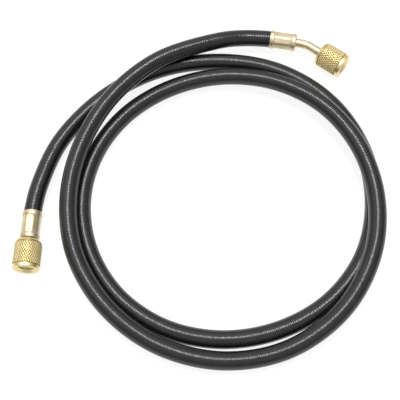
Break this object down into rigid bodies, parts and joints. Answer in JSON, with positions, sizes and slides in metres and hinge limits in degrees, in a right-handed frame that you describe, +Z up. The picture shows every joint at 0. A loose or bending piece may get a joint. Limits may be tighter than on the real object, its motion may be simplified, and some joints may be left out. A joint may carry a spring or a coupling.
{
  "type": "refrigerant charging hose",
  "caption": "Coiled black rubber refrigerant charging hose with crimped brass ferrules and knurled swivel flare nuts, one end straight and one bent.",
  "frame": {"origin": "centre of the object's outline as seen from above, at the level of the surface it lies on", "axes": "+Z up; the bent end lies at +X +Y, the straight end at -X and opens towards -Y"},
  "size_m": [0.2472, 0.2501, 0.0248],
  "materials": {
    "hose_rubber": "satin, finely cross-ribbed",
    "ferrule_brass": "pale drawn brass, satin",
    "stem_brass": "pale turned brass, satin",
    "nut_brass": "yellow brass, diamond knurl",
    "seal_rubber": "matt"
  },
  "bodies": {
    "hose_assembly": {"hose": "hose_rubber", "ferrule_straight": "ferrule_brass", "ferrule_angled": "ferrule_brass", "stem_straight": "stem_brass", "stem_angled": "stem_brass", "seal_straight": "seal_rubber", "seal_angled": "seal_rubber", "depressor": "stem_brass"},
    "swivel_straight": {"nut_straight": "nut_brass"},
    "swivel_angled": {"nut_angled": "nut_brass"}
  },
  "joints": [
    {"name": "swivel_straight_turn", "type": "hinge", "parent": "hose_assembly", "child": "swivel_straight", "pos_m": [-0.11371, -0.04129, 0.0091], "axis": [-0.0349, -0.9994, 0], "continuous": true},
    {"name": "swivel_angled_turn", "type": "hinge", "parent": "hose_assembly", "child": "swivel_angled", "pos_m": [0.08812, 0.10563, 0.0091], "axis": [0.8049, -0.5934, 0], "continuous": true}
  ]
}
